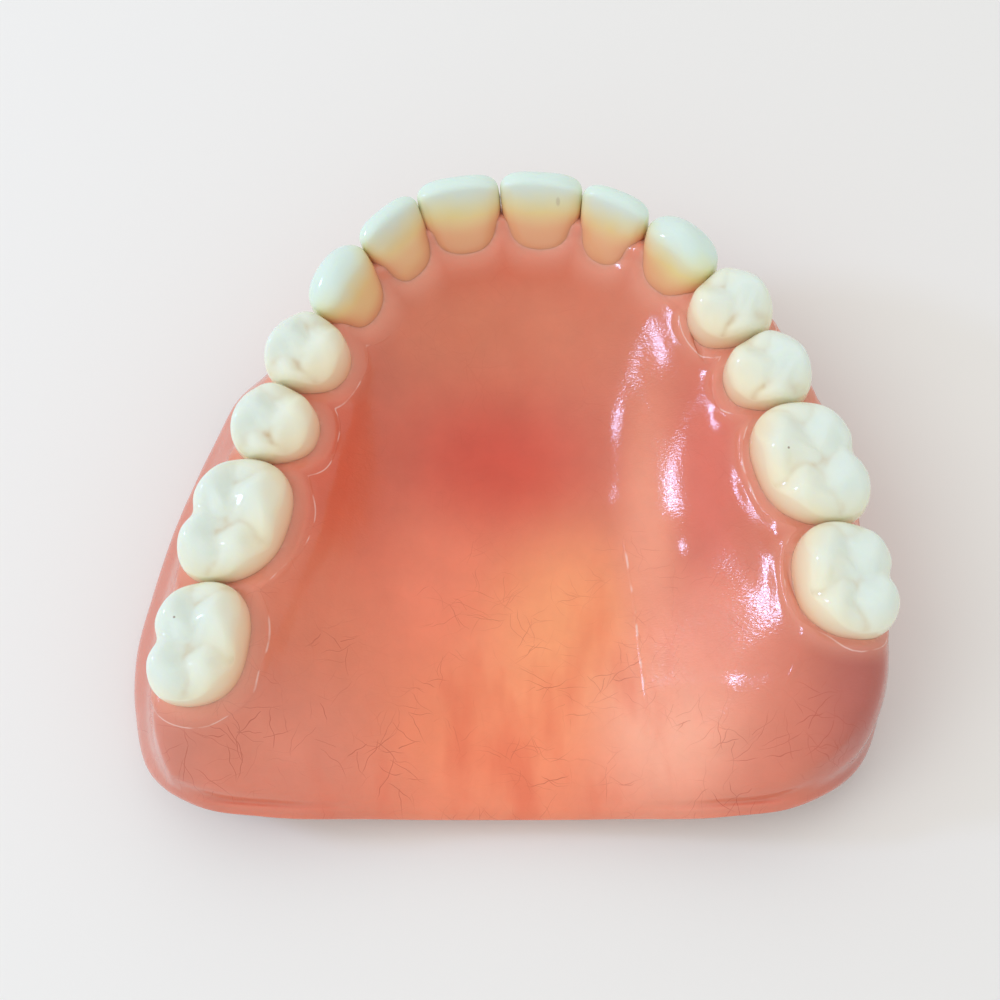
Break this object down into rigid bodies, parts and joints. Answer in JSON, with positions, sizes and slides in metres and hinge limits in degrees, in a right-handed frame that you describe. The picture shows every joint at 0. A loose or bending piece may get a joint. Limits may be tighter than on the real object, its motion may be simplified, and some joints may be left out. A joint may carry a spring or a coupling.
{
  "type": "full upper denture",
  "caption": "Full upper denture: a moulded pink acrylic base with palate, flanges and a ridge trough carries an arch of cusped resin teeth.",
  "frame": {"origin": "middle of the denture's box, on the surface that its flange border rests on", "axes": "+X towards the wearer's right, -Y towards the lips, +Z out of the teeth; the denture lies teeth up"},
  "size_m": [0.0688, 0.0564, 0.0202],
  "materials": {
    "pink_acrylic": "polished heat-cured acrylic, pink and slightly clear, with fine dark red fibres",
    "tooth_resin": "glossy moulded tooth resin, ivory with clearer edges"
  },
  "bodies": {
    "root": {"denture_base": "pink_acrylic", "right_central_incisor": "tooth_resin", "right_lateral_incisor": "tooth_resin", "right_canine": "tooth_resin", "right_first_premolar": "tooth_resin", "right_second_premolar": "tooth_resin", "right_first_molar": "tooth_resin", "right_second_molar": "tooth_resin", "left_central_incisor": "tooth_resin", "left_lateral_incisor": "tooth_resin", "left_canine": "tooth_resin", "left_first_premolar": "tooth_resin", "left_second_premolar": "tooth_resin", "left_first_molar": "tooth_resin", "left_second_molar": "tooth_resin"}
  },
  "joints": []
}
